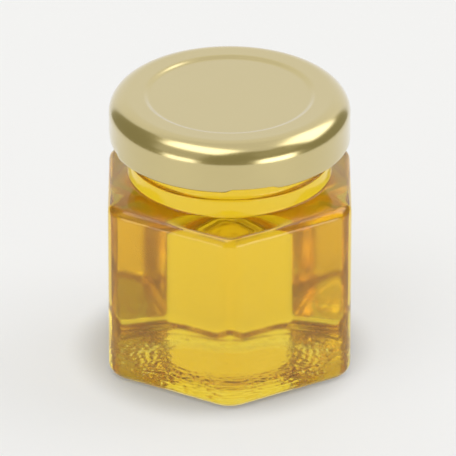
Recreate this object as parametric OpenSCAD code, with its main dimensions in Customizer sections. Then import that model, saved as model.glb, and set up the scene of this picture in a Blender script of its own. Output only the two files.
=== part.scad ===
// Hexagonal glass honey jar with a twist-off lid, full of clear honey.
// Millimetres, +Z up. The origin is the centre of the underside, and one
// upright corner of the jar points along -Y.

/* [Jar body] */
// Width of the hexagonal body, measured flat to flat
across_flats = 45.7; // [38:0.1:56]
// Height of the shoulder edge, where the six side walls end
shoulder_height = 36.4; // [28:0.1:46]
// Rise from the shoulder edge to the foot of the neck
shoulder_rise = 1.1; // [0.5:0.1:3]
// Radius of the six upright corners
corner_radius = 5.2; // [2.5:0.1:6.5]
// Rounding between the underside and the side walls
base_round = 2.2; // [1:0.1:2.4]
// Rounding between the side walls and the shoulder
shoulder_round = 2.2; // [0.8:0.1:2.6]
// Width of the round hollow pressed into the underside
push_up_diameter = 31; // [24:0.5:34]
// Depth of that hollow
push_up = 1.1; // [0.3:0.1:1.5]
// Width of the slope round that hollow
push_up_slope = 9; // [0.6:0.1:10]

/* [Glass thickness] */
// Thickness of the six side walls
wall = 2.6; // [1.6:0.1:3.2]
// Thickness of glass between the underside's rim and the floor's edge
base_thickness = 2.7; // [2:0.1:6]
// Thickness of the neck wall
neck_wall = 1.8; // [1.4:0.1:2.2]
// Radius of the upright corners inside the jar
cavity_corner_radius = 3.2; // [2:0.1:6]
// Radius of those corners at the floor, where the glass gathers
floor_corner_radius = 6.5; // [4:0.1:12]
// Rounding between the side walls and the floor inside the jar
floor_round = 3.6; // [2:0.1:8]
// Rise of the floor's middle above its edge
floor_crown = 0.5; // [0.1:0.05:0.8]
// Height in which the cavity narrows from the body to the neck
cavity_shoulder = 5.2; // [3:0.1:7]
// Height of the end of that narrowing above the foot of the neck
cavity_shoulder_lift = 0.6; // [0:0.1:1.5]

/* [Neck and thread] */
// Height of neck that shows between the shoulder and the lid
neck_show = 6.9; // [5.5:0.1:10]
// Height of the wider ring at the foot of the neck
bead_height = 3.6; // [2.5:0.1:4.2]
// How far that ring stands out from the neck
bead_proud = 0.45; // [0.2:0.05:0.8]
// Rounding of the top edge of that ring
bead_round = 0.45; // [0.2:0.05:0.8]
// Concave rounding where the neck meets the shoulder
neck_fillet = 0.55; // [0.3:0.05:1]
// How far the thread stands out from the neck
thread_depth = 2.3; // [1.8:0.1:2.6]
// Height of the thread at its root
thread_height = 2; // [1.4:0.1:2.4]
// Climb of each thread start along its length
thread_climb = 1.5; // [0.8:0.1:2]

/* [Lid] */
// Outer diameter of the lid
lid_diameter = 45.4; // [37:0.1:55]
// Height of the lid
lid_height = 9.3; // [7.5:0.1:12]
// Thickness of the tinplate
sheet = 0.3; // [0.2:0.05:0.5]
// Radius of the rolled shoulder of the lid
lid_shoulder = 3.8; // [2:0.1:4.5]
// Width of the lid's sunk panel
panel_diameter = 30; // [20:0.5:30]
// Width of the sloping step around the panel
step_width = 1.05; // [0.6:0.05:1.4]
// Depth of the panel below the lid's top
panel_depth = 0.6; // [0.3:0.05:1.2]
// Diameter of the curl rolled into the lower edge
curl = 1.2; // [0.9:0.1:1.4]
// How many lugs hold the lid, one for each thread start
lug_count = 4; // [3:1:6]
// Length of each lug along the edge
lug_length = 9.4; // [6:0.1:10]
// How far each lug reaches in from the skirt
lug_reach = 2.1; // [1.6:0.1:2.4]
// Turn of the first lug from the corner at the front
lug_turn = 11; // [0:1:45]

/* [Honey] */
// Distance from the rim of the glass down to the honey
headspace = 3.5; // [2.5:0.1:3.9]

/* [Clearances] */
// Radial gap between the thread and the inside of the lid
thread_gap = 1.45; // [1.2:0.05:1.8]
// Gap between the top of a lug and the thread above it
lug_gap = 0.2; // [0.1:0.05:0.4]

/* [Hidden] */

SIDES = 6;
SECTOR = 360 / SIDES;
HALF = SECTOR / 2;

// Jar heights, each built on the one below it
apothem = across_flats / 2;
neck_foot = shoulder_height + shoulder_rise;
lid_bottom = neck_foot + neck_show;
lid_top = lid_bottom + lid_height;
rim = lid_top - sheet;
honey_level = rim - headspace;

// Neck radii, worked inwards from the lid
lid_radius = lid_diameter / 2;
skirt_inside = lid_radius - sheet;
thread_radius = skirt_inside - thread_gap;
neck_radius = thread_radius - thread_depth;
bead_radius = neck_radius + bead_proud;
mouth_radius = neck_radius - neck_wall;
rim_round = neck_wall / 3;

// Inside of the jar
cavity_apothem = apothem - wall;
cavity_shoulder_foot = neck_foot + cavity_shoulder_lift - cavity_shoulder;
floor_middle = base_thickness + floor_crown;

// Thread, set above the lugs of the closed lid
lug_top = lid_bottom + curl;
lug_span = lug_length / lid_radius * 180 / PI;
lug_pitch = 360 / lug_count;
lug_climb = thread_climb * lug_span / lug_pitch / 2;
thread_middle = 0.45;
thread_foot = lug_top + lug_gap + lug_climb - thread_climb * thread_middle;
thread_flank = thread_height / 4;
thread_run = [0.06, 0.2, 0.74, 0.9];

// Distance from the middle of a corner arc's circle to the axis
function arc_centre(a, rc) = (a - rc) / cos(HALF);

// Polar angle, from the corner, at which the corner arc ends
function arc_end(a, rc) = atan2(rc * sin(HALF), arc_centre(a, rc) + rc * cos(HALF));

// Radius of a rounded hexagon of apothem a and corner radius rc at the polar
// angle t from its nearest corner. With rc equal to a it is a circle.
function hex_radius(a, rc, t) =
    let (d = arc_centre(a, rc))
    abs(t) <= arc_end(a, rc)
        ? d * cos(t) + sqrt(rc * rc - pow(d * sin(t), 2))
        : a / cos(HALF - abs(t));

// Polar angles of one half sector: three steps round the corner arc, and
// four along the flat
corner_end = arc_end(apothem, corner_radius);
half_steps = [
    for (i = [0:2]) corner_end * i / 3,
    for (i = [0:3]) corner_end + (HALF - corner_end) * i / 4
];
sector_steps = concat(
    [for (i = [len(half_steps) - 1:-1:1]) -half_steps[i]],
    half_steps,
    [HALF]
);
columns = [
    for (k = [0:SIDES - 1])
        for (t = sector_steps) [t, -90 + SECTOR * k + t]
];

// How far round its start the thread has run, from 0 to 1
function thread_phase(angle) =
    let (from = angle + 90 - lug_turn + lug_pitch * thread_middle + 360)
    (from / lug_pitch) - floor(from / lug_pitch);

// Height of the thread form along its run: it fades in and out at the ends
function thread_form(p) =
    p < thread_run[0] || p > thread_run[3] ? 0
    : p < thread_run[1] ? (p - thread_run[0]) / (thread_run[1] - thread_run[0])
    : p > thread_run[2] ? (thread_run[3] - p) / (thread_run[3] - thread_run[2])
    : 1;

// A station is [z, apothem, corner radius, share of the thread's climb, share
// of its depth]. Stations run from the axis outwards and along the surface.
function station(z, a, rc, climb = 0, depth = 0) = [z, a, min(rc, a), climb, depth];
function round_station(z, r, climb = 0, depth = 0) = station(z, r, r, climb, depth);

// Point of a station at one column
function skin_point(s, column) =
    let (
        p = thread_phase(column[1]),
        r = hex_radius(s[1], s[2], column[0]) + s[4] * thread_depth * thread_form(p),
        z = s[0] + s[3] * thread_climb * p
    )
    [r * cos(column[1]), r * sin(column[1]), z];

// The four-sided patch a, b, c, d as two triangles, cut along its shorter
// diagonal, so that two pieces that share a wall are cut alike
function patch(points, a, b, c, d) =
    norm(points[a] - points[c]) < norm(points[b] - points[d])
        ? [[a, d, c], [a, c, b]]
        : [[a, d, b], [b, d, c]];

// Closed surface through a list of stations, with its two ends on the axis at
// the heights z_start and z_end
module skin(stations, z_start, z_end) {
    n = len(columns);
    m = len(stations);
    last = n * m + 1;
    points = concat(
        [[0, 0, z_start]],
        [for (s = stations) for (c = columns) skin_point(s, c)],
        [[0, 0, z_end]]
    );
    faces = concat(
        [for (j = [0:n - 1]) [0, 1 + j, 1 + (j + 1) % n]],
        [for (i = [0:m - 2])
            for (j = [0:n - 1])
                let (
                    a = 1 + i * n + j,
                    b = 1 + i * n + (j + 1) % n,
                    c = b + n,
                    d = a + n
                )
                each patch(points, a, b, c, d)],
        [for (j = [0:n - 1]) [last, last - n + (j + 1) % n, last - n + j]]
    );
    polyhedron(points, faces);
}

// Outside of the jar, from the push-up to the rim
bearing_inner = push_up_diameter / 2;
base_stations = [
    round_station(push_up, bearing_inner - push_up_slope),
    round_station(0, bearing_inner),
    for (t = [0:30:90])
        station(
            base_round * (1 - cos(t)),
            apothem - base_round * (1 - sin(t)),
            corner_radius - base_round * (1 - sin(t))
        )
];
shoulder_stations = [
    for (t = [0:26:78])
        station(
            shoulder_height - shoulder_round * (1 - sin(t)),
            apothem - shoulder_round * (1 - cos(t)),
            corner_radius - shoulder_round * (1 - cos(t)) / 2
        )
];
neck_stations = [
    for (t = [0:45:90])
        round_station(neck_foot + neck_fillet * (1 - cos(t)), bead_radius + neck_fillet * (1 - sin(t))),
    for (t = [0:45:90])
        round_station(
            neck_foot + bead_height - bead_round * (1 - sin(t)),
            bead_radius - bead_proud * (1 - cos(t))
        )
];
thread_stations = [
    round_station(thread_foot, neck_radius, 1, 0),
    round_station(thread_foot + thread_flank, neck_radius, 1, 1),
    round_station(thread_foot + thread_height - thread_flank, neck_radius, 1, 0.9),
    round_station(thread_foot + thread_height, neck_radius, 1, 0)
];
rim_stations = [
    for (t = [0:45:90])
        round_station(rim - rim_round * (1 - sin(t)), neck_radius - rim_round * (1 - cos(t)))
];

// Inside of the jar, from the floor to the rim
function ease(s) = s * s * (3 - 2 * s);
cavity_floor_stations = [
    for (t = [0:22.5:90])
        station(
            base_thickness + floor_round * (1 - cos(t)),
            cavity_apothem - floor_round * (1 - sin(t)),
            floor_corner_radius + (cavity_corner_radius - floor_corner_radius) * sin(t)
        )
];
cavity_shoulder_stations = [
    for (s = [0:1 / 6:1.001])
        station(
            cavity_shoulder_foot + cavity_shoulder * s,
            cavity_apothem + (mouth_radius - cavity_apothem) * ease(s),
            cavity_corner_radius + (mouth_radius - cavity_corner_radius) * sqrt(ease(s))
        )
];
cavity_stations = concat(cavity_floor_stations, cavity_shoulder_stations);
mouth_stations = [
    for (t = [0:45:90])
        round_station(rim - rim_round * (1 - sin(t)), mouth_radius + rim_round * (1 - cos(t)))
];

function reverse(list) = [for (i = [len(list) - 1:-1:0]) list[i]];

module jar() {
    color([0.86, 0.9, 0.88, 0.45])
        skin(
            concat(
                base_stations,
                shoulder_stations,
                neck_stations,
                thread_stations,
                rim_stations,
                reverse(mouth_stations),
                reverse(cavity_stations)
            ),
            push_up,
            floor_middle
        );
}

module honey() {
    color([0.93, 0.76, 0.22])
        skin(
            concat(cavity_stations, [round_station(honey_level, mouth_radius)]),
            floor_middle,
            honey_level
        );
}

// Points of an arc about [x, y], from one angle to another
function arc(x, y, r, from, to, steps) = [
    for (i = [0:steps])
        let (t = from + (to - from) * i / steps)
        [x + r * cos(t), y + r * sin(t)]
];

// Section of the lid's sheet: the sunk panel, the step, the flat top, the
// rolled shoulder and the skirt, as a band of the sheet's thickness
arc_steps = 8;
panel_radius = panel_diameter / 2;
module lid_section() {
    shoulder_x = lid_radius - lid_shoulder;
    shoulder_y = lid_top - lid_shoulder;
    upper = concat(
        [[0, lid_top - panel_depth], [panel_radius, lid_top - panel_depth]],
        [[panel_radius + step_width, lid_top]],
        arc(shoulder_x, shoulder_y, lid_shoulder, 90, 0, arc_steps),
        [[lid_radius, lid_bottom + curl / 2]]
    );
    lower = concat(
        [[skirt_inside, lid_bottom + curl / 2]],
        arc(shoulder_x, shoulder_y, lid_shoulder - sheet, 0, 90, arc_steps),
        [[panel_radius + step_width, lid_top - sheet]],
        [[panel_radius, lid_top - panel_depth - sheet], [0, lid_top - panel_depth - sheet]]
    );
    polygon(concat(upper, lower));
}

module lid() {
    curl_radius = curl / 2;
    curl_x = lid_radius - curl_radius;
    curl_y = lid_bottom + curl_radius;
    lug_inside = lid_radius - lug_reach;
    color([0.8, 0.75, 0.56]) {
        rotate_extrude($fn = 96) lid_section();
        rotate_extrude($fn = 96) translate([curl_x, curl_y]) circle(curl_radius, $fn = 24);
        for (i = [0:lug_count - 1])
            rotate([0, 0, -90 + lug_turn + lug_pitch * i - lug_span / 2])
                rotate_extrude(angle = lug_span, $fn = 96)
                    translate([lug_inside, lid_bottom])
                        square([lug_reach - curl_radius, curl]);
    }
}

jar();
honey();
lid();
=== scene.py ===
import logging
import math
from dataclasses import dataclass
from enum import Enum

import bpy
import numpy as np
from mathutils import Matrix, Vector, noise


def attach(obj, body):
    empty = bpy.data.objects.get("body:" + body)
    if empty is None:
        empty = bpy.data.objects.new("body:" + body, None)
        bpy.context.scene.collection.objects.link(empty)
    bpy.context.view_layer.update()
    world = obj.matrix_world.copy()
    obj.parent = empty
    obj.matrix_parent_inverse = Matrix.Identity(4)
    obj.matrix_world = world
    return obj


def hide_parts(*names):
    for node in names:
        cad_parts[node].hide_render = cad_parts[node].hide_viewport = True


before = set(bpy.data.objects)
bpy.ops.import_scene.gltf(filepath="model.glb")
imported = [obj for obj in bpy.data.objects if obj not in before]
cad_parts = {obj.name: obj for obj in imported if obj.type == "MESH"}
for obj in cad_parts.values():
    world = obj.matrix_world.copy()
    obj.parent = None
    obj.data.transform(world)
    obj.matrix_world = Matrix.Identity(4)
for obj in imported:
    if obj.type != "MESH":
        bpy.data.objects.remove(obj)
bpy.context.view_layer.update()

LOG = logging.getLogger("honey_jar")
MM = 0.001


def linear(colour: str) -> tuple[float, float, float, float]:
    """Turns an sRGB hex colour into the linear colour that shaders take.

    Args:
        colour: Six hex digits, such as "d8b24a".

    Returns:
        Red, green, blue and an alpha of one.
    """
    shares = [int(colour[i:i + 2], 16) / 255 for i in (0, 2, 4)]
    light = [c / 12.92 if c <= 0.04045 else ((c + 0.055) / 1.055) ** 2.4 for c in shares]
    return (*light, 1.0)


def add_node(
    tree: bpy.types.NodeTree, kind: str, settings: dict | None = None, **links: object,
) -> bpy.types.Node:
    """Adds one node with its settings and its inputs.

    Args:
        tree: The node tree that the node goes into.
        kind: The node's type, such as "ShaderNodeTexNoise".
        settings: Properties of the node itself.
        links: One entry for each input, named with underscores for spaces, or
            in0, in1 and so on for its place. A socket is linked, and anything
            else becomes the input's own value.

    Returns:
        The new node.
    """
    node = tree.nodes.new(kind)
    for name, value in (settings or {}).items():
        setattr(node, name, value)
    for name, value in links.items():
        place = name[2:]
        socket = node.inputs[int(place)] if name.startswith("in") and place.isdigit() else \
            node.inputs[name.replace("_", " ")]
        if isinstance(value, bpy.types.NodeSocket):
            tree.links.new(value, socket)
        else:
            socket.default_value = value
    return node


def new_material(name: str) -> tuple[bpy.types.Material, bpy.types.NodeTree, bpy.types.Node]:
    """Makes a material with nothing in it but its output node.

    Args:
        name: The material's name.

    Returns:
        The material, its node tree and the output node.
    """
    material = bpy.data.materials.new(name)
    material.use_nodes = True
    tree = material.node_tree
    tree.nodes.clear()
    return material, tree, tree.nodes.new("ShaderNodeOutputMaterial")


def arc(centre: tuple, radius: float, start: float, end: float, steps: int) -> list[tuple]:
    """Points of an arc in the (radius, height) plane.

    Args:
        centre: The arc's centre as (radius, height).
        radius: The arc's own radius.
        start: Angle of the first point, in degrees from outwards.
        end: Angle of the last point.
        steps: How many steps the arc takes.

    Returns:
        The arc's points as (radius, height) pairs.
    """
    angles = np.radians(np.linspace(start, end, steps + 1))
    return [(centre[0] + radius * np.cos(t), centre[1] + radius * np.sin(t)) for t in angles]


def line(start: tuple, end: tuple, steps: int) -> list[tuple]:
    """Points between two (radius, height) pairs, without the first one.

    Args:
        start: Where the line begins.
        end: Where it ends.
        steps: How many points it gives.

    Returns:
        The points, ending with the line's end.
    """
    shares = np.arange(1, steps + 1) / steps
    return [(start[0] + (end[0] - start[0]) * s, start[1] + (end[1] - start[1]) * s) for s in shares]


def smooth(share: np.ndarray | float) -> np.ndarray | float:
    """Eases a share from 0 to 1 so that it starts and ends level."""
    held = np.clip(share, 0.0, 1.0)
    return held * held * (3 - 2 * held)


def skin(name: str, rows: list[np.ndarray], first: float, last: float) -> bpy.types.Object:
    """Builds a closed mesh from rings, with a pole on the axis at each end.

    Args:
        name: The object's name.
        rows: One array of points for each ring, in millimetres.
        first: Height of the pole before the first ring.
        last: Height of the pole after the last ring.

    Returns:
        The object, smooth shaded, linked into the scene, in metres.
    """
    count, size = len(rows), len(rows[0])
    points = np.concatenate([[(0.0, 0.0, first)], *rows, [(0.0, 0.0, last)]]) * MM
    here = 1 + np.arange(size)
    beside = 1 + (np.arange(size) + 1) % size
    quads = [
        np.stack([here + size * i, beside + size * i, beside + size * (i + 1), here + size * (i + 1)], 1)
        for i in range(count - 1)
    ]
    end = size * count + 1
    lid_on = size * (count - 1)
    faces = [(0, int(b), int(a)) for a, b in zip(here, beside)]
    faces += [tuple(int(v) for v in quad) for quad in np.concatenate(quads)]
    faces += [(end, int(a), int(b)) for a, b in zip(here + lid_on, beside + lid_on)]
    mesh = bpy.data.meshes.new(name)
    mesh.from_pydata(points.tolist(), [], faces)
    mesh.shade_smooth()
    piece = bpy.data.objects.new(name, mesh)
    bpy.context.scene.collection.objects.link(piece)
    return piece


def wavy(points: np.ndarray, pitch: float, depth: float, seed: float) -> np.ndarray:
    """Smooth unevenness at each point, as moulded glass has.

    Args:
        points: Points in millimetres.
        pitch: Distance between one wave and the next, in millimetres.
        depth: Largest height of a wave, in millimetres.
        seed: Moves the pattern, so that two surfaces differ.

    Returns:
        One height for each point, in millimetres.
    """
    shift = Vector((seed, seed * 1.7, seed * 2.3))
    return depth * np.array([noise.noise(Vector(p) / pitch + shift) for p in points])


@dataclass(frozen=True)
class Hexagon:
    """A hexagon with rounded corners, one of them towards -Y."""

    apothem: float
    corner: float

    def radius(self, turn: np.ndarray) -> np.ndarray:
        """Radius at polar angles counted from the nearest corner.

        Args:
            turn: Angles in radians, from minus to plus thirty degrees.

        Returns:
            The outline's radius at each angle.
        """
        half = math.pi / 6
        centre = (self.apothem - self.corner) / math.cos(half)
        bend = math.atan2(self.corner * math.sin(half), centre + self.corner * math.cos(half))
        inside = np.maximum(self.corner ** 2 - (centre * np.sin(turn)) ** 2, 0.0)
        rounded = centre * np.cos(turn) + np.sqrt(inside)
        flat = self.apothem / np.cos(half - np.abs(turn))
        return np.where(np.abs(turn) <= bend, rounded, flat)


@dataclass(frozen=True)
class Columns:
    """The upright lines of a hexagonal skin, closest where it turns a corner."""

    round_corner: int = 20
    along_flat: int = 34
    bend: float = 5.6

    @property
    def count(self) -> int:
        """How many lines go round the skin."""
        return 6 * (self.round_corner + self.along_flat)

    def angles(self) -> tuple[np.ndarray, np.ndarray]:
        """Angles of every line.

        Returns:
            The angle from the nearest corner and the angle about the axis.
        """
        near = np.linspace(-self.bend, self.bend, self.round_corner, endpoint=False)
        far = np.linspace(self.bend, 60 - self.bend, self.along_flat, endpoint=False)
        sector = np.concatenate([near, far])
        turn = np.where(sector > 30, sector - 60, sector)
        about = np.concatenate([sector + 60 * k - 90 for k in range(6)])
        return np.radians(np.tile(turn, 6)), np.radians(about)


def ring(radius: np.ndarray | float, height: np.ndarray | float, about: np.ndarray) -> np.ndarray:
    """Points of one ring.

    Args:
        radius: The radius of each column, or one for all.
        height: The height of each column, or one for all.
        about: Each column's angle about the axis.

    Returns:
        The ring's points, in millimetres.
    """
    full = np.ones_like(about)
    return np.stack([radius * full * np.cos(about), radius * full * np.sin(about), height * full], 1)


class Beside(Enum):
    """What lies on the other side of a clear surface."""

    AIR = "in_air"
    HONEY = "against_honey"
    GLASS = "against_glass"


@dataclass(frozen=True)
class SodaLimeGlass:
    """Clear container glass, blown into an iron mould and fire polished.

    The eye gets a colourless body, bright line highlights on every rounded
    edge, and a trace of orange peel where the mould chilled the skin. The
    roughness stands in for the fine unevenness that softens what shows through.
    """

    name: str = "soda_lime_glass_moulded"
    tint: str = "fdfefc"
    index: float = 1.52
    roughness: float = 0.095
    peel_pitch: float = 2.4
    peel_depth: float = 0.004

    def material(self, beside: Beside) -> bpy.types.Material:
        """Makes the glass.

        Args:
            beside: What the surface touches. Glass and honey bend light alike,
                so light passes straight on where they meet.

        Returns:
            The material.
        """
        material, tree, output = new_material(f"{self.name}_{beside.value}")
        place = add_node(tree, "ShaderNodeTexCoord")
        peel = add_node(
            tree, "ShaderNodeTexNoise",
            Vector=place.outputs["Object"], Scale=1 / (self.peel_pitch * MM), Detail=1.0,
        )
        bump = add_node(
            tree, "ShaderNodeBump",
            Height=peel.outputs["Fac"], Strength=1.0, Distance=self.peel_depth * MM,
        )
        shader = add_node(
            tree, "ShaderNodeBsdfPrincipled",
            Base_Color=linear(self.tint), Roughness=self.roughness,
            IOR=self.index if beside is Beside.AIR else 1.0,
            Transmission_Weight=1.0, Normal=bump.outputs["Normal"],
        )
        tree.links.new(shader.outputs["BSDF"], output.inputs["Surface"])
        return material


@dataclass(frozen=True)
class ClearHoney:
    """Strained liquid honey, heated so that it stays clear.

    The eye gets a saturated golden body that deepens with the length of honey
    looked through, because its colour lies mostly in the volume, and a faint
    golden haze from pollen and fine crystals, which keeps its shadows warm.
    """

    name: str = "clear_liquid_honey"
    index: float = 1.49
    passed: tuple[float, float, float] = (0.998, 0.923, 0.11)
    density: float = 90.0
    skin: str = "fff3a8"
    clarity: float = 0.955

    def material(self, beside: Beside) -> bpy.types.Material:
        """Makes the honey.

        Args:
            beside: What the surface touches. Light passes straight on into
                glass, because the two bend it alike.

        Returns:
            The material.
        """
        material, tree, output = new_material(f"{self.name}_{beside.value}")
        shader = add_node(
            tree, "ShaderNodeBsdfPrincipled",
            Base_Color=linear(self.skin), Roughness=0.0,
            IOR=self.index if beside is Beside.AIR else 1.0,
            Transmission_Weight=self.clarity,
        )
        body = add_node(
            tree, "ShaderNodeVolumeAbsorption",
            Color=(*self.passed, 1.0), Density=self.density,
        )
        tree.links.new(shader.outputs["BSDF"], output.inputs["Surface"])
        tree.links.new(body.outputs["Volume"], output.inputs["Volume"])
        return material


@dataclass(frozen=True)
class GoldLacqueredTinplate:
    """Tinplate, roller coated with a pale gold lacquer, stoved and pressed.

    The eye gets a soft mirror of the room in pale straw gold, with a faint
    grain from the rolled steel and a thin glossy skin over it. The real grain
    is finer, and is drawn at 0.45 mm so that it shows.
    """

    name: str = "gold_lacquered_tinplate"
    lacquer: str = "d1c189"
    deep: str = "cebd84"
    roughness: float = 0.21
    roughness_swing: float = 0.03
    coat_roughness: float = 0.12
    coat_pitch: float = 14.0
    grain_pitch: float = 0.45
    grain_depth: float = 0.0035

    def material(self) -> bpy.types.Material:
        """Makes the lacquered tinplate.

        Returns:
            The material.
        """
        material, tree, output = new_material(self.name)
        place = add_node(tree, "ShaderNodeTexCoord")
        coat = add_node(
            tree, "ShaderNodeTexNoise",
            Vector=place.outputs["Object"], Scale=1 / (self.coat_pitch * MM), Detail=3.0,
        )
        colour = add_node(
            tree, "ShaderNodeMix", {"data_type": "RGBA"},
            Factor=coat.outputs["Fac"], in6=linear(self.lacquer), in7=linear(self.deep),
        )
        grain = add_node(
            tree, "ShaderNodeTexNoise",
            Vector=place.outputs["Object"], Scale=1 / (self.grain_pitch * MM), Detail=2.0,
        )
        bump = add_node(
            tree, "ShaderNodeBump",
            Height=grain.outputs["Fac"], Strength=1.0, Distance=self.grain_depth * MM,
        )
        dull = add_node(
            tree, "ShaderNodeMapRange",
            Value=grain.outputs["Fac"],
            To_Min=self.roughness - self.roughness_swing,
            To_Max=self.roughness + self.roughness_swing,
        )
        shader = add_node(
            tree, "ShaderNodeBsdfPrincipled",
            Base_Color=colour.outputs[2], Metallic=1.0, Roughness=dull.outputs["Result"],
            Normal=bump.outputs["Normal"], Coat_Weight=1.0, Coat_Roughness=self.coat_roughness,
        )
        tree.links.new(shader.outputs["BSDF"], output.inputs["Surface"])
        return material


@dataclass
class Cavity:
    """The hollow of the jar, which the honey fills. Lengths in millimetres."""

    apothem: float = 20.25
    corner: float = 3.2
    floor_corner: float = 6.5
    floor: float = 2.7
    floor_crown: float = 0.5
    floor_round: float = 3.6
    mouth: float = 16.85
    shoulder_top: float = 38.1
    shoulder_fall: float = 5.2
    wave_pitch: float = 13.0
    wave_depth: float = 0.12
    wave_seed: float = 3.1
    first_share: float = 0.12

    def rows(self, columns: Columns, top: float, reach: float = 0.0) -> list[np.ndarray]:
        """Rings of the hollow from its floor up.

        Args:
            columns: The upright lines of the skin.
            top: Height of the last ring.
            reach: How far the rings lie outside the hollow's own wall.

        Returns:
            The rings, in millimetres.
        """
        turn, about = columns.angles()
        rows = []
        edge = Hexagon(self.apothem - self.floor_round, self.floor_corner).radius(turn)
        for share in np.linspace(self.first_share, 1.0, 12):
            height = self.floor + self.floor_crown * (1 - share ** 2) - reach
            rows.append(ring(edge * share, height, about))
        for t in np.radians(np.linspace(7.5, 90, 12)):
            inset = self.floor_round * (1 - math.sin(t))
            corner = self.floor_corner + (self.corner - self.floor_corner) * math.sin(t)
            outline = Hexagon(self.apothem - inset, corner).radius(turn) + reach * math.sin(t)
            height = self.floor + self.floor_round * (1 - math.cos(t)) - reach * math.cos(t)
            rows.append(ring(outline, height, about))
        wall = Hexagon(self.apothem, self.corner).radius(turn) + reach
        low, high = self.floor + self.floor_round, self.shoulder_top - self.shoulder_fall
        for height in np.linspace(low, high, 26)[1:]:
            rows.append(ring(wall, height, about))
        for share in np.linspace(0, 1, 25)[1:]:
            eased = float(smooth(share))
            apothem = self.apothem + (self.mouth - self.apothem) * eased
            corner = self.corner + (self.mouth - self.corner) * math.sqrt(eased)
            outline = Hexagon(apothem, min(corner, apothem)).radius(turn) + reach
            rows.append(ring(outline, high + self.shoulder_fall * share, about))
        for height in np.linspace(self.shoulder_top, top, 12)[1:]:
            rows.append(ring(self.mouth + reach, height, about))
        return self.uneven(rows)

    def uneven(self, rows: list[np.ndarray]) -> list[np.ndarray]:
        """Gives the rings the soft waves of a wall that was blown, not pressed.

        Args:
            rows: The rings of an even hollow.

        Returns:
            The same rings, each a little in or out.
        """
        least = 4.0
        made = []
        for row in rows:
            flat = row.copy()
            size = np.linalg.norm(flat[:, :2], axis=1)
            wave = wavy(flat, self.wave_pitch, self.wave_depth, self.wave_seed)
            flat[:, :2] *= (1 + wave / np.maximum(size, least))[:, None]
            made.append(flat)
        return made


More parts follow.
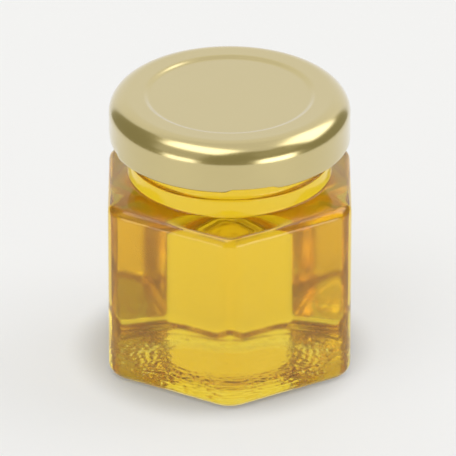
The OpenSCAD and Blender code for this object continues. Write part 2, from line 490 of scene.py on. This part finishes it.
@dataclass
class GlassJar:
    """The moulded glass jar. Lengths in millimetres, heights above the table."""

    apothem: float = 22.85
    corner: float = 5.2
    shoulder: float = 36.4
    shoulder_rise: float = 1.1
    base_round: float = 2.2
    shoulder_round: float = 2.2
    push_up: float = 1.1
    push_up_slope: float = 9.0
    bearing: float = 15.5
    ring_edge: float = 18.4
    ring_step: float = 0.14
    stipple_depth: float = 0.14
    stipple_pitch: float = 1.1
    stipple_seed: float = 5.2
    disc_stipple: float = 0.55
    turned_depth: float = 0.02
    turned_pitch: float = 1.7
    stipple_start: float = 0.5
    stipple_fade: float = 2.0
    row_pitch: float = 0.25
    ring_slope: float = 0.6
    ring_fade: float = 1.2
    neck: float = 18.65
    bead: float = 19.1
    bead_height: float = 3.6
    bead_round: float = 0.45
    fillet: float = 0.55
    rim: float = 53.4
    rim_round: float = 0.6
    rim_gap: float = 0.2

    @property
    def neck_foot(self) -> float:
        """Height at which the neck leaves the shoulder."""
        return self.shoulder + self.shoulder_rise

    def stipple(self, row: np.ndarray, radius: np.ndarray) -> np.ndarray:
        """Depth of the stippling and of the mould plate's turned rings.

        The stippling lets the jar cool on a conveyor without checking.

        Args:
            row: One ring of the underside.
            radius: The radius of each of its points.

        Returns:
            How far each point is raised into the glass.
        """
        inner = self.bearing - self.push_up_slope
        edge = smooth(self.ring_edge - radius)
        speckled = smooth((radius - inner - self.stipple_start) / self.stipple_fade)
        band = np.maximum(speckled, self.disc_stipple) * edge
        turned = self.turned_depth * edge * (1 - np.cos(2 * math.pi * radius / self.turned_pitch))
        dots = wavy(row, self.stipple_pitch, self.stipple_depth * 2, self.stipple_seed)
        return turned + band * np.abs(dots)

    def base_rows(self, turn: np.ndarray, about: np.ndarray) -> list[np.ndarray]:
        """Rings of the underside, from the axis to the foot of the side walls.

        Args:
            turn: Each column's angle from its corner.
            about: Each column's angle about the axis.

        Returns:
            The rings, in millimetres.
        """
        rows = []
        hollow = self.bearing - self.push_up_slope
        wall = Hexagon(self.apothem, self.corner).radius(turn)
        radii = [hollow * share * np.ones_like(turn) for share in np.linspace(0.1, 1, 10)]
        pitch = self.row_pitch
        radii += [r * np.ones_like(turn) for r in np.arange(hollow + pitch, self.ring_edge, pitch)]
        radii += [
            self.ring_edge + (wall - self.base_round - self.ring_edge) * share
            for share in np.linspace(0, 1, 16)
        ]
        for radius in radii:
            rise = self.push_up * (1 - smooth((radius - hollow) / self.push_up_slope))
            step = self.ring_step * smooth((radius - self.ring_edge) / self.ring_slope)
            fade = (radius - wall + self.base_round + self.ring_fade) / self.ring_fade
            rise = rise + step * (1 - smooth(fade))
            row = ring(radius, rise, about)
            row[:, 2] += self.stipple(row, radius)
            rows.append(row)
        for t in np.radians(np.linspace(0, 90, 13)[1:]):
            inset = self.base_round * (1 - math.sin(t))
            rows.append(ring(wall - inset, self.base_round * (1 - math.cos(t)), about))
        return rows

    def body_rows(self, turn: np.ndarray, about: np.ndarray) -> list[np.ndarray]:
        """Rings of the side walls, the shoulder edge and the shoulder.

        Args:
            turn: Each column's angle from its corner.
            about: Each column's angle about the axis.

        Returns:
            The rings, in millimetres.
        """
        wall = Hexagon(self.apothem, self.corner).radius(turn)
        edge = self.shoulder - self.shoulder_round
        rows = [ring(wall, height, about) for height in np.linspace(self.base_round, edge, 30)[1:]]
        foot = (self.bead + self.fillet, self.neck_foot + self.fillet)
        run, rise = foot[0] - (wall - self.shoulder_round), foot[1] - edge
        reach = (self.shoulder_round + self.fillet) / np.hypot(run, rise)
        slope = math.pi - np.arcsin(np.clip(reach, -1, 1)) - np.arctan2(rise, run)
        slope = np.where(slope < 0, slope + math.pi, slope)
        for share in np.linspace(0, 1, 15)[1:]:
            t = share * (math.pi / 2 - slope)
            radius = wall - self.shoulder_round * (1 - np.cos(t))
            rows.append(ring(radius, edge + self.shoulder_round * np.sin(t), about))
        start_r = wall - self.shoulder_round * (1 - np.sin(slope))
        start_z = edge + self.shoulder_round * np.cos(slope)
        end_r = foot[0] - self.fillet * np.sin(slope)
        end_z = foot[1] - self.fillet * np.cos(slope)
        for share in np.linspace(0, 1, 9)[1:]:
            radius = start_r + (end_r - start_r) * share
            height = start_z + (end_z - start_z) * share
            rows.append(ring(radius, height, about))
        for share in np.linspace(0, 1, 9)[1:]:
            t = slope + (math.pi / 2 - slope) * share
            radius = foot[0] - self.fillet * np.sin(t)
            height = foot[1] - self.fillet * np.cos(t)
            rows.append(ring(radius, height, about))
        return rows

    def neck_rows(self, about: np.ndarray) -> list[np.ndarray]:
        """Rings of the bead, the neck and the rim.

        Args:
            about: Each column's angle about the axis.

        Returns:
            The rings, in millimetres.
        """
        top = self.neck_foot + self.bead_height
        outline = line((self.bead, self.neck_foot + self.fillet), (self.bead, top - self.bead_round), 10)
        proud = self.bead - self.neck
        outline += [
            (self.bead - proud * (1 - math.cos(t)), top - self.bead_round * (1 - math.sin(t)))
            for t in np.radians(np.linspace(0, 90, 9)[1:])
        ]
        outline += line((self.neck, top), (self.neck, self.rim - self.rim_round), 16)
        centre = (self.neck - self.rim_round, self.rim - self.rim_round)
        outline += arc(centre, self.rim_round, 10, 90, 8)
        return [ring(r, z, about) for r, z in outline]

    def build(self, cavity: Cavity) -> bpy.types.Object:
        """Builds the glass, outside and inside, as one closed mesh.

        Args:
            cavity: The hollow inside.

        Returns:
            The jar.
        """
        columns = Columns()
        turn, about = columns.angles()
        rows = self.base_rows(turn, about) + self.body_rows(turn, about) + self.neck_rows(about)
        centre = (cavity.mouth + self.rim_round, self.rim - self.rim_round)
        rows += [ring(r, z, about) for r, z in arc(centre, self.rim_round, 90, 180, 8)]
        rows += cavity.rows(columns, self.rim - self.rim_round - self.rim_gap)[::-1]
        return skin("glass_jar", rows, self.push_up, cavity.floor + cavity.floor_crown)

    @staticmethod
    def dress(piece: bpy.types.Object, cavity: Cavity, level: float) -> None:
        """Gives the jar its glass, with the wall that honey wets as its own finish.

        Args:
            piece: The jar.
            cavity: The hollow that the honey fills.
            level: Height of the honey.
        """
        glass = SodaLimeGlass()
        piece.data.materials.append(glass.material(Beside.AIR))
        piece.data.materials.append(glass.material(Beside.HONEY))
        inner = len(piece.data.vertices) - 1 - Columns().count * len(cavity.rows(Columns(), level))
        for face in piece.data.polygons:
            if min(face.vertices) >= inner and face.center.z < level * MM:
                face.material_index = 1


@dataclass
class HoneyFill:
    """The honey, from the cavity's floor to its level."""

    headspace: float = 3.5
    reach: float = 0.05

    def build(self, cavity: Cavity, rim: float) -> bpy.types.Object:
        """Builds the honey so that it reaches just into the glass.

        Args:
            cavity: The hollow that it fills.
            rim: Height of the jar's rim.

        Returns:
            The honey.
        """
        level = rim - self.headspace
        rows = cavity.rows(Columns(), level, self.reach)
        return skin("honey_fill", rows, cavity.floor + cavity.floor_crown - self.reach, level)

    @staticmethod
    def dress(piece: bpy.types.Object, level: float) -> None:
        """Gives the honey its finish, with its free surface as its own.

        Args:
            piece: The honey.
            level: Height of the free surface.
        """
        honey = ClearHoney()
        piece.data.materials.append(honey.material(Beside.GLASS))
        piece.data.materials.append(honey.material(Beside.AIR))
        near = 0.001
        for face in piece.data.polygons:
            if face.center.z > (level - near) * MM:
                face.material_index = 1


@dataclass
class TwistOffLid:
    """The pressed lid with its sunk panel. Lengths in millimetres."""

    radius: float = 22.7
    top: float = 53.7
    height: float = 9.3
    sheet: float = 0.3
    shoulder: float = 3.8
    panel: float = 15.0
    step: float = 1.3
    sink: float = 0.5
    curl: float = 1.2
    lugs: int = 4
    lug_turn: float = 11.0
    lug_length: float = 9.4
    lug_reach: float = 2.1
    lug_lift: float = 0.4
    step_drop: float = 0.04
    lug_ends: float = 1.15
    lug_fade: float = 0.35
    press_depth: float = 0.15
    press_height: float = 2.6
    press_fade: float = 2.4
    inward_rate: float = 1.2
    hub: float = 0.6
    around: int = 360

    def outline(self) -> list[tuple]:
        """The sheet's section, out over the top, round the curl and back.

        Returns:
            Points as (radius, height) pairs.
        """
        low = self.top - self.sink
        bend = 0.45
        centre = (self.radius - self.shoulder, self.top - self.shoulder)
        curl = self.curl / 2
        bottom = self.top - self.height
        outer = line((0.0, low), (self.panel - bend, low), 14)
        brow = (self.panel + self.step, self.top - self.step_drop)
        outer += self.stepped((self.panel, low), brow)
        outer += line(brow, (centre[0], self.top), 8)
        outer += arc(centre, self.shoulder, 88, 0, 30)
        outer += line((self.radius, centre[1]), (self.radius, bottom + curl), 10)
        outer += arc((self.radius - curl, bottom + curl), curl, -12, -300, 22)
        inner_r = self.radius - self.sheet
        inner = line((inner_r, bottom + 2 * curl), (inner_r, centre[1]), 6)
        inner += arc(centre, self.shoulder - self.sheet, 10, 90, 12)
        under = self.top - self.sheet
        inner += line((centre[0], under), (self.panel + self.step, under), 4)
        inner += line(inner[-1], (self.panel, low - self.sheet), 5)
        inner += line(inner[-1], (self.hub, low - self.sheet), 8)
        return outer + inner

    @staticmethod
    def stepped(low: tuple, high: tuple) -> list[tuple]:
        """An S-shaped step between two levels.

        Args:
            low: The low end as (radius, height).
            high: The high end.

        Returns:
            Points as (radius, height) pairs.
        """
        run, rise = high[0] - low[0], high[1] - low[1]
        shares = np.linspace(0, 1, 13)
        return [(low[0] + run * s, low[1] + rise * float(smooth(s))) for s in shares]

    def lug_form(self, about: np.ndarray) -> np.ndarray:
        """How fully the edge is pressed into a lug at each angle.

        Args:
            about: Angles about the axis, in radians.

        Returns:
            Shares from 0 to 1.
        """
        pitch = 2 * math.pi / self.lugs
        start = math.radians(self.lug_turn - 90)
        off = np.abs((about - start + pitch / 2) % pitch - pitch / 2)
        half = self.lug_length / self.radius / 2
        return smooth((half * self.lug_ends - off) / (half * self.lug_fade))

    def build(self) -> bpy.types.Object:
        """Builds the lid as one closed sheet.

        Returns:
            The lid.
        """
        about = np.linspace(0, 2 * math.pi, self.around, endpoint=False) - math.pi / 2
        form = self.lug_form(about)
        bottom = self.top - self.height
        rows = []
        for r, z in self.outline():
            low = float(smooth((bottom + self.press_height - z) / self.press_fade))
            inward = 0.0
            if z < bottom + 2 * self.curl:
                inward = float(smooth((self.radius - r) / self.curl * self.inward_rate))
            press = form * low * (self.press_depth + inward * (self.lug_reach - self.curl))
            lift = form * low * self.lug_lift * (1 - smooth((z - bottom) / self.curl))
            rows.append(ring(r - press, z + lift, about))
        return skin("twist_off_lid", rows, self.top - self.sink, self.top - self.sink - self.sheet)

    @staticmethod
    def dress(piece: bpy.types.Object) -> None:
        """Gives the lid its finish."""
        piece.data.materials.append(GoldLacqueredTinplate().material())


@dataclass(frozen=True)
class SoftPanel:
    """A soft-edged rectangle of light, far off, in degrees round the object.

    Azimuth 0 is behind the camera, and 90 is on its right.
    """

    azimuth: float
    elevation: float
    width: float
    height: float
    strength: float
    edge: float = 6.0

    def axes(self) -> tuple[Vector, Vector, Vector]:
        """Directions of the panel's middle, of its width and of its height.

        Returns:
            The three directions, each of length one.
        """
        a, e = math.radians(self.azimuth), math.radians(self.elevation)
        ahead = Vector((math.sin(a) * math.cos(e), -math.cos(a) * math.cos(e), math.sin(e)))
        side = Vector((math.cos(a), math.sin(a), 0.0))
        return ahead, side, ahead.cross(side)

    def glow(self, tree: bpy.types.NodeTree, direction: bpy.types.NodeSocket) -> bpy.types.NodeSocket:
        """Adds the panel's light to the dome.

        Args:
            tree: The world's node tree.
            direction: The direction looked in.

        Returns:
            The light seen in that direction.
        """
        least = 0.02
        ahead, side, rise = self.axes()
        facing = add_node(tree, "ShaderNodeVectorMath", {"operation": "DOT_PRODUCT"},
                          in0=direction, in1=ahead).outputs["Value"]
        shown = add_node(tree, "ShaderNodeMath", {"operation": "GREATER_THAN"},
                         in0=facing, in1=least).outputs[0]
        for axis, size in ((side, self.width), (rise, self.height)):
            across = add_node(tree, "ShaderNodeVectorMath", {"operation": "DOT_PRODUCT"},
                              in0=direction, in1=axis).outputs["Value"]
            turned = add_node(tree, "ShaderNodeMath", {"operation": "ARCTAN2"},
                              in0=across, in1=facing).outputs[0]
            away = add_node(tree, "ShaderNodeMath", {"operation": "ABSOLUTE"}, in0=turned).outputs[0]
            half, soft = math.radians(size / 2), math.radians(self.edge / 2)
            inside = add_node(tree, "ShaderNodeMapRange", {"interpolation_type": "SMOOTHSTEP"},
                              Value=away, From_Min=half + soft, From_Max=half - soft,
                              To_Min=0.0, To_Max=1.0).outputs["Result"]
            shown = add_node(tree, "ShaderNodeMath", {"operation": "MULTIPLY"},
                             in0=shown, in1=inside).outputs[0]
        return add_node(tree, "ShaderNodeMath", {"operation": "MULTIPLY"},
                        in0=shown, in1=self.strength).outputs[0]


@dataclass
class Studio:
    """A pale table in a dim room, a white backdrop and soft panels of light."""

    room: float = 0.34
    room_tone: str = "fff9ce"
    white_from: float = 0.8
    wall_colour: str = "efeeec"
    table_radius: float = 0.21
    table_colour: str = "ababab"
    table_grain: str = "a9a9a9"
    grain_scale: float = 400.0
    table_roughness: float = 0.6
    table_shine: float = 0.1
    table_glow: float = 0.465
    # Painted contact shadow: round the jar's foot the glow falls to this share, between these radii in
    # millimetres from this centre.
    painted_shadow_share: float = 0.42
    painted_shadow_edge: float = 20.5
    painted_shadow_fade: float = 30.5
    painted_shadow_centre: tuple[float, float, float] = (-1.6, -1.4, 0.0)
    table_thickness: float = 6.0
    table_gap: float = 0.02
    distance: float = 1.35
    elevation: float = 28.15
    azimuth: float = -0.1
    target: tuple[float, float, float] = (-0.3, 0.0, 25.1)
    lens: float = 563.3

    def panels(self) -> list[SoftPanel]:
        """The backdrop, the overhead boxes and the low lights in front."""
        return [
            SoftPanel(180, 22, 84, 90, 0.91, 10),
            SoftPanel(0, 90, 72, 66, 0.8, 14),
            SoftPanel(-46, 63, 50, 34, 2.6, 14),
            SoftPanel(106, 43, 42, 40, 2.6, 14),
            SoftPanel(-46, -6, 32, 22, 2.4, 12),
            SoftPanel(44, -5, 36, 24, 3.3, 12),
            SoftPanel(-50, 27, 54, 44, 0.64, 18),
            SoftPanel(48, 33, 50, 34, 0.46, 18),
        ]

    def light(self) -> None:
        """Builds the dome of light."""
        world = bpy.data.worlds.new("studio")
        world.use_nodes = True
        bpy.context.scene.world = world
        tree = world.node_tree
        tree.nodes.clear()
        direction = add_node(tree, "ShaderNodeTexCoord").outputs["Generated"]
        total = None
        for panel in self.panels():
            glow = panel.glow(tree, direction)
            total = glow if total is None else add_node(
                tree, "ShaderNodeMath", {"operation": "MAXIMUM"}, in0=total, in1=glow).outputs[0]
        total = add_node(tree, "ShaderNodeMath", {"operation": "MAXIMUM"},
                         in0=total, in1=self.room).outputs[0]
        lit = add_node(tree, "ShaderNodeMapRange",
                       Value=total, From_Min=self.room, From_Max=self.white_from)
        tone = add_node(tree, "ShaderNodeMix", {"data_type": "RGBA"}, Factor=lit.outputs["Result"],
                        in6=linear(self.room_tone), in7=linear("ffffff"))
        sky = add_node(tree, "ShaderNodeBackground", Color=tone.outputs[2], Strength=total)
        wall = add_node(tree, "ShaderNodeBackground", Color=linear(self.wall_colour), Strength=1.0)
        seen = add_node(tree, "ShaderNodeLightPath").outputs["Is Camera Ray"]
        shown = add_node(tree, "ShaderNodeMixShader", in0=seen,
                         in1=sky.outputs["Background"], in2=wall.outputs["Background"])
        output = add_node(tree, "ShaderNodeOutputWorld")
        tree.links.new(shown.outputs["Shader"], output.inputs["Surface"])

    def table(self) -> bpy.types.Object:
        """Builds the pale table top.

        Returns:
            The table top.
        """
        about = np.linspace(0, 2 * math.pi, 96, endpoint=False)
        low, high = -self.table_thickness, -self.table_gap
        rows = [ring(self.table_radius / MM, z, about) for z in (low, high)]
        top = skin("table_top", rows, low, high)
        top.data.shade_flat()
        material, tree, output = new_material("opal_acrylic_lit_from_below")
        grain = add_node(tree, "ShaderNodeTexNoise", Scale=self.grain_scale, Detail=2.0)
        colour = add_node(tree, "ShaderNodeMix", {"data_type": "RGBA"}, Factor=grain.outputs["Fac"],
                          in6=linear(self.table_colour), in7=linear(self.table_grain))
        # The table's glow is dimmed round the jar's foot, which paints a contact shadow on it.
        shader = add_node(tree, "ShaderNodeBsdfPrincipled",
                          Base_Color=colour.outputs[2],
                          Roughness=self.table_roughness, Specular_IOR_Level=self.table_shine,
                          Emission_Color=linear("ffffff"), Emission_Strength=self.glow_with_painted_shadow(tree))
        tree.links.new(shader.outputs["BSDF"], output.inputs["Surface"])
        top.data.materials.append(material)
        return top

    def glow_with_painted_shadow(self, tree: bpy.types.NodeTree) -> bpy.types.NodeSocket:
        """Dims the table's glow round the jar's foot, which paints a soft contact shadow there.

        Args:
            tree: The table's node tree.

        Returns:
            The glow at each point of the table, with the painted shadow in it.
        """
        place = add_node(tree, "ShaderNodeTexCoord").outputs["Object"]
        far = add_node(tree, "ShaderNodeVectorMath", {"operation": "DISTANCE"},
                       in0=place, in1=tuple(c * MM for c in self.painted_shadow_centre)).outputs["Value"]
        return add_node(tree, "ShaderNodeMapRange", {"interpolation_type": "SMOOTHSTEP"}, Value=far,
                        From_Min=self.painted_shadow_edge * MM, From_Max=self.painted_shadow_fade * MM,
                        To_Min=self.table_glow * self.painted_shadow_share,
                        To_Max=self.table_glow).outputs["Result"]

    def camera(self) -> bpy.types.Object:
        """Sets up the camera.

        Returns:
            The camera, which is the scene's camera.
        """
        a, e = math.radians(self.azimuth), math.radians(self.elevation)
        back = Vector((math.sin(a) * math.cos(e), -math.cos(a) * math.cos(e), math.sin(e)))
        data = bpy.data.cameras.new("camera")
        data.lens = self.lens
        data.sensor_width = 36.0
        data.clip_start, data.clip_end = 0.05, 50.0
        camera = bpy.data.objects.new("camera", data)
        camera.location = Vector(self.target) * MM + back * self.distance
        camera.rotation_mode = "QUATERNION"
        camera.rotation_quaternion = (-back).to_track_quat("-Z", "Y")
        bpy.context.scene.collection.objects.link(camera)
        bpy.context.scene.camera = camera
        return camera

    @staticmethod
    def exposure() -> None:
        """Sets how light paths and colours are worked out, for clear glass on white."""
        scene = bpy.context.scene
        scene.view_settings.view_transform = "Standard"
        scene.cycles.max_bounces = 32
        scene.cycles.transmission_bounces = 32
        scene.cycles.glossy_bounces = 32
        scene.cycles.diffuse_bounces = 6
        scene.cycles.use_denoising = True


def settle(piece: bpy.types.Object, node: str) -> None:
    """Puts a piece in the frame in place of its CAD node and reports it.

    Args:
        piece: The finished piece.
        node: The CAD node that it stands for.
    """
    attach(piece, "root")
    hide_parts(node)
    LOG.info("%s: %d faces, in place of %s", piece.name, len(piece.data.polygons), node)


def main() -> None:
    """Builds the studio and the three pieces of the jar."""
    logging.basicConfig(level=logging.INFO, format="%(message)s")
    studio = Studio()
    studio.camera()
    studio.light()
    studio.table()
    studio.exposure()

    cavity, jar, fill, lid = Cavity(), GlassJar(), HoneyFill(), TwistOffLid()
    glass = jar.build(cavity)
    jar.dress(glass, cavity, jar.rim - fill.headspace)
    settle(glass, "jar")
    honey = fill.build(cavity, jar.rim)
    fill.dress(honey, jar.rim - fill.headspace)
    settle(honey, "honey")
    cap = lid.build()
    lid.dress(cap)
    settle(cap, "lid")


if __name__ == "__main__":
    main()
